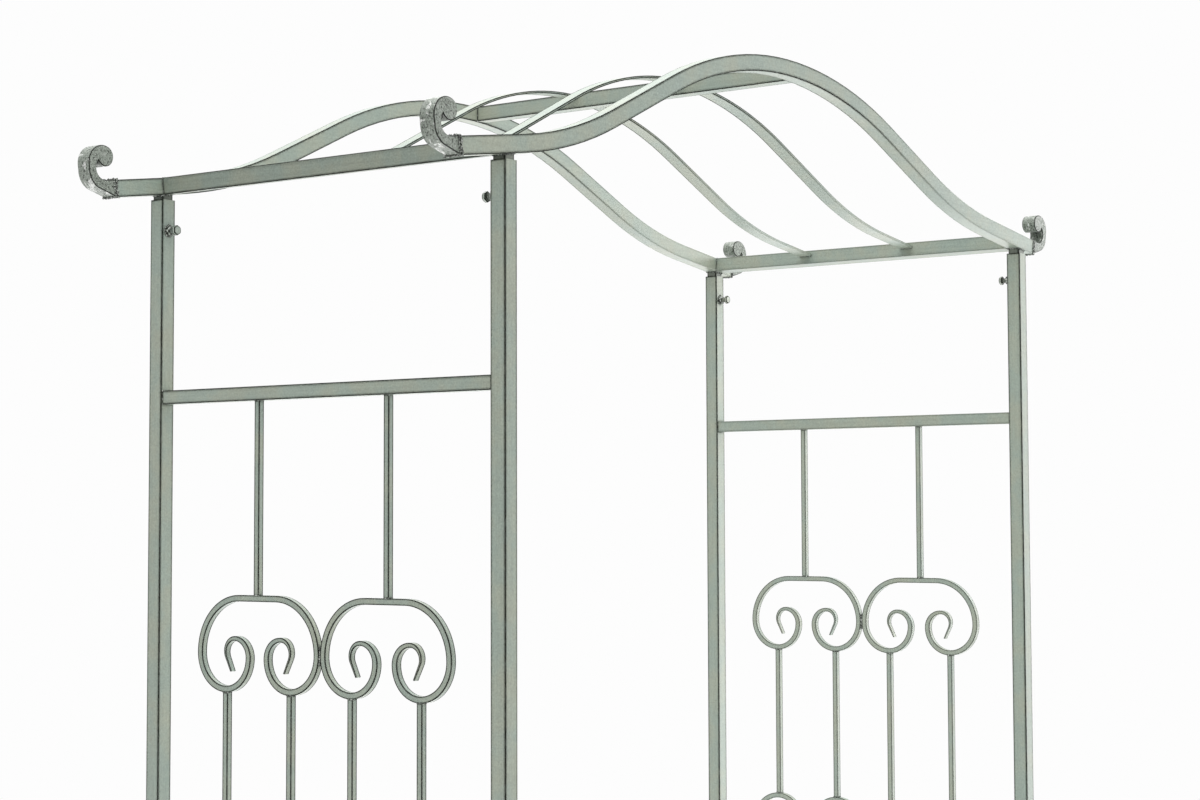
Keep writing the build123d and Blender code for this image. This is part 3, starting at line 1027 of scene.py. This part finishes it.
@dataclass
class RoofFrame:
    """The pagoda roof: beams, ties, slats, cast ends, spigots and their welds."""

    finishes: Finishes
    tube_mm: float = 25.0
    spigot_mm: float = 20.0
    slat_mm: float = 25.0
    slat_thick_mm: float = 4.0
    slat_foot_mm: float = 1.5
    eave_slope_deg: float = 8.0
    left_overhang_mm: float = 102.0
    right_overhang_mm: float = 42.0
    tie_weld_inset_mm: float = 0.4
    end_weld_inset_mm: float = 0.3
    slat_weld_inset_mm: float = 0.5
    weld_passes_mm: tuple[float, float] = (-1.6, 2.6)

    def dress_nodes(self) -> None:
        """Give every CAD node of the roof its finish."""
        for end in End:
            dress(f"{end.value}_roof_beam", self.finishes.beams)
            for side in Side:
                dress(f"{side.value}_{end.value}_slat", self.finishes.beams)
                dress(f"{side.value}_{end.value}_beam_end", self.finishes.casting)
                dress(f"{side.value}_{end.value}_spigot", self.finishes.spigots)
        for tie in ("left_eave_tie", "right_eave_tie", "ridge_tie"):
            dress(tie, self.finishes.rails)

    def lean(self, side: Side) -> tuple[Vector, Vector]:
        """Unit vectors out along the eave and square to it, on that side.

        Args:
            side: The side of the arch.

        Returns:
            The outward vector and the upward one.
        """
        slope = math.radians(self.eave_slope_deg)
        sign = 1 if side is Side.RIGHT else -1
        out = Vector((sign * math.cos(slope), 0, -math.sin(slope)))
        up = Vector((sign * math.sin(slope), 0, math.cos(slope)))
        return out, up

    def weld_ties(self) -> None:
        """Lay a bead round both ends of the three ties."""
        run = WeldRun("tie_welds", "roof", self.finishes.weld, bead_mm=1.2, pitch_mm=1.6, seed=11)
        half = (self.tube_mm / 2 - self.tie_weld_inset_mm) * MM
        for tie, axes in (("left_eave_tie", self.lean(Side.LEFT)),
                          ("right_eave_tie", self.lean(Side.RIGHT)),
                          ("ridge_tie", (Vector((1, 0, 0)), Vector((0, 0, 1))))):
            low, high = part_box(tie)
            centre = middle(tie)
            for y in (low[1], high[1]):
                run.around(Vector((centre.x, y, centre.z)), axes[0], axes[1], half, half)
        run.build()

    def weld_ends(self) -> None:
        """Lay two passes of heavy beads where each cast end meets its beam."""
        run = WeldRun("beam_end_welds", "roof", self.finishes.weld, bead_mm=2.2, pitch_mm=1.9,
                      jitter_mm=1.1, seed=13)
        half = (self.tube_mm / 2 - self.end_weld_inset_mm) * MM
        for side in Side:
            out, up = self.lean(side)
            tie = middle(f"{side.value}_eave_tie")
            overhang = self.left_overhang_mm if side is Side.LEFT else self.right_overhang_mm
            reach = overhang / math.cos(math.radians(self.eave_slope_deg)) * MM
            for end in End:
                beam = middle(f"{end.value}_roof_beam")
                centre = Vector((tie.x, beam.y, tie.z)) + out * reach
                for pass_mm in self.weld_passes_mm:
                    run.around(centre + out * (pass_mm * MM), Vector((0, 1, 0)), up, half, half)
        run.build()

    def weld_slats(self) -> None:
        """Lay a short bead across both ends of each slat half."""
        run = WeldRun("slat_welds", "roof", self.finishes.weld, bead_mm=1.0, pitch_mm=1.5,
                      jitter_mm=0.25, seed=17)
        half = (self.slat_mm / 2 - self.slat_weld_inset_mm) * MM
        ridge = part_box("ridge_tie")
        for side in Side:
            out, up = self.lean(side)
            tie = middle(f"{side.value}_eave_tie")
            foot = tie - out * (self.tube_mm / 2 * MM) + up * (self.slat_foot_mm * MM)
            crown_x = ridge[1][0] if side is Side.RIGHT else ridge[0][0]
            for end in End:
                slat = f"{side.value}_{end.value}_slat"
                y = middle(slat).y
                crown = Vector((crown_x, y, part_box(slat)[1][2] - self.slat_thick_mm * MM))
                for spot in (foot, crown):
                    run.along((Vector((spot.x, y - half, spot.z)),
                               Vector((spot.x, y + half, spot.z))), closed=False)
        run.build()

    def weld_spigots(self) -> None:
        """Lay a bead round the top of each spigot, under the beam."""
        run = WeldRun("spigot_welds", "roof", self.finishes.weld, bead_mm=2.2, pitch_mm=1.9,
                      jitter_mm=1.1, seed=19)
        half = self.spigot_mm / 2 * MM
        for side in Side:
            out, _ = self.lean(side)
            tie = middle(f"{side.value}_eave_tie")
            under = tie.z - self.tube_mm / 2 * MM / math.cos(math.radians(self.eave_slope_deg))
            for end in End:
                beam = middle(f"{end.value}_roof_beam")
                run.around(Vector((tie.x, beam.y, under)), out, Vector((0, 1, 0)), half, half)
        run.build()

    def build(self) -> None:
        """Dress and weld the whole roof."""
        self.dress_nodes()
        self.weld_ties()
        self.weld_ends()
        self.weld_slats()
        self.weld_spigots()


@dataclass(frozen=True)
class Softbox:
    """A flat studio lamp that faces a point."""

    name: str
    place: tuple[float, float, float]
    target: tuple[float, float, float]
    size: tuple[float, float]
    watts: float
    spread_deg: float = 180.0


@dataclass
class Studio:
    """A white studio: floor, world, soft lamps and the camera of the photograph."""

    backdrop: str = "#FDFDFD"
    floor: str = "#F2F2F2"
    floor_half_m: float = 7.0
    melt_start_share: float = 0.35
    melt_full_share: float = 0.95
    melt_least: float = 0.45
    ambient: float = 0.63
    mirrored: float = 1.45
    floor_mirrored: float = 2.6
    camera_m: tuple[float, float, float] = (-3.15207, -2.31243, 1.50709)
    yaw: float = 0.90715
    pitch: float = 0.06457
    roll: float = -0.00185
    focal_px: float = 2445.53
    centre_px: tuple[float, float] = (543.95, 363.65)
    width_px: float = 1200.0
    height_px: float = 800.0
    sensor_mm: float = 36.0
    clip_end_m: float = 100.0
    lamps: tuple[Softbox, ...] = (
        Softbox("right_softbox", (2.3, -0.66, 1.8), (0.75, 0.0, 1.7), (0.7, 2.4), 22.0),
        Softbox("top_softbox", (0.0, 0.0, 5.0), (0.0, 0.0, 0.0), (5.0, 5.0), 118.0, 120.0),
    )

    def build_floor(self) -> None:
        """Lay a pale floor whose rim melts into the backdrop."""
        half = self.floor_half_m
        mesh = bpy.data.meshes.new("studio_floor")
        mesh.from_pydata([(-half, -half, 0), (half, -half, 0), (half, half, 0), (-half, half, 0)],
                         [], [(0, 1, 2, 3)])
        floor = bpy.data.objects.new("studio_floor", mesh)
        bpy.context.scene.collection.objects.link(floor)
        material, tree = new_material("white_studio_floor")
        coords = add_node(tree, "ShaderNodeTexCoord").outputs["Object"]
        far = add_node(tree, "ShaderNodeVectorMath", {0: coords}, operation="LENGTH")
        melt = Ramp(half * self.melt_start_share, half * self.melt_full_share, self.melt_least)
        rim = add_node(tree, "ShaderNodeMapRange", melt.of(far.outputs["Value"]))
        seen = add_node(tree, "ShaderNodeLightPath").outputs
        shown = add_node(tree, "ShaderNodeMath",
                         {0: rim.outputs[0], 1: seen["Is Camera Ray"]}, operation="MULTIPLY")
        share = add_node(tree, "ShaderNodeMath",
                         {0: shown.outputs[0], 1: seen["Is Glossy Ray"]}, operation="MAXIMUM")
        level = add_node(tree, "ShaderNodeMapRange",
                         {0: seen["Is Glossy Ray"], 3: 1.0, 4: self.floor_mirrored})
        matt = add_node(tree, "ShaderNodeBsdfDiffuse", {"Color": linear(self.floor)})
        white = add_node(tree, "ShaderNodeEmission",
                         {"Color": linear(self.backdrop), "Strength": level.outputs[0]})
        mixed = add_node(tree, "ShaderNodeMixShader",
                         {0: share.outputs[0], 1: matt.outputs[0], 2: white.outputs[0]})
        add_node(tree, "ShaderNodeOutputMaterial", {"Surface": mixed.outputs[0]})
        mesh.materials.append(material)

    def build_world(self) -> None:
        """Plain white for the camera, overexposed in reflections, softer as ambient light."""
        world = bpy.data.worlds.new("white_studio")
        bpy.context.scene.world = world
        world.use_nodes = True
        tree = world.node_tree
        tree.nodes.clear()
        seen = add_node(tree, "ShaderNodeLightPath").outputs
        shown = add_node(tree, "ShaderNodeMapRange",
                         {0: seen["Is Camera Ray"], 3: self.ambient, 4: 1.0})
        level = add_node(tree, "ShaderNodeMix",
                         {0: seen["Is Glossy Ray"], 2: shown.outputs[0], 3: self.mirrored})
        sky = add_node(tree, "ShaderNodeBackground",
                       {"Color": linear(self.backdrop), "Strength": level.outputs[0]})
        add_node(tree, "ShaderNodeOutputWorld", {"Surface": sky.outputs[0]})

    def build_lamps(self) -> None:
        """Hang the soft lamps."""
        for lamp in self.lamps:
            data = bpy.data.lights.new(lamp.name, "AREA")
            data.shape = "RECTANGLE"
            data.size, data.size_y = lamp.size
            data.energy = lamp.watts
            data.spread = math.radians(lamp.spread_deg)
            light = bpy.data.objects.new(lamp.name, data)
            aim = Vector(lamp.target) - Vector(lamp.place)
            light.matrix_world = Matrix.Translation(lamp.place) @ aim.to_track_quat(
                "-Z", "Y").to_matrix().to_4x4()
            light.visible_camera = False
            bpy.context.scene.collection.objects.link(light)

    def build_camera(self) -> None:
        """Stand the camera where the photograph was taken."""
        forward = Vector((math.sin(self.yaw) * math.cos(self.pitch),
                          math.cos(self.yaw) * math.cos(self.pitch), math.sin(self.pitch)))
        right = Vector((math.cos(self.yaw), -math.sin(self.yaw), 0))
        up = right.cross(forward)
        turned_right = right * math.cos(self.roll) + up * math.sin(self.roll)
        turned_up = up * math.cos(self.roll) - right * math.sin(self.roll)
        data = bpy.data.cameras.new("photo_camera")
        data.sensor_width = self.sensor_mm
        data.lens = self.focal_px * data.sensor_width / self.width_px
        data.shift_x = (self.width_px / 2 - self.centre_px[0]) / self.width_px
        data.shift_y = (self.centre_px[1] - self.height_px / 2) / self.width_px
        data.clip_end = self.clip_end_m
        camera = bpy.data.objects.new("photo_camera", data)
        axes = Matrix((turned_right, turned_up, -forward)).transposed()
        camera.matrix_world = Matrix.Translation(self.camera_m) @ axes.to_4x4()
        bpy.context.scene.collection.objects.link(camera)
        bpy.context.scene.camera = camera

    def build(self) -> None:
        """Set up the whole studio."""
        self.build_floor()
        self.build_world()
        self.build_lamps()
        self.build_camera()
        bpy.context.scene.view_settings.view_transform = "Standard"


def main() -> None:
    """Build the arch's finishes, welds and screws, then the studio round it."""
    logging.basicConfig(level=logging.INFO, format="%(message)s")
    finishes = Finishes.build()
    for side in Side:
        SidePanel(side, finishes).build()
        for end in End:
            ClampScrew(side, end, finishes).build()
    RoofFrame(finishes).build()
    Studio().build()


if __name__ == "__main__":
    main()
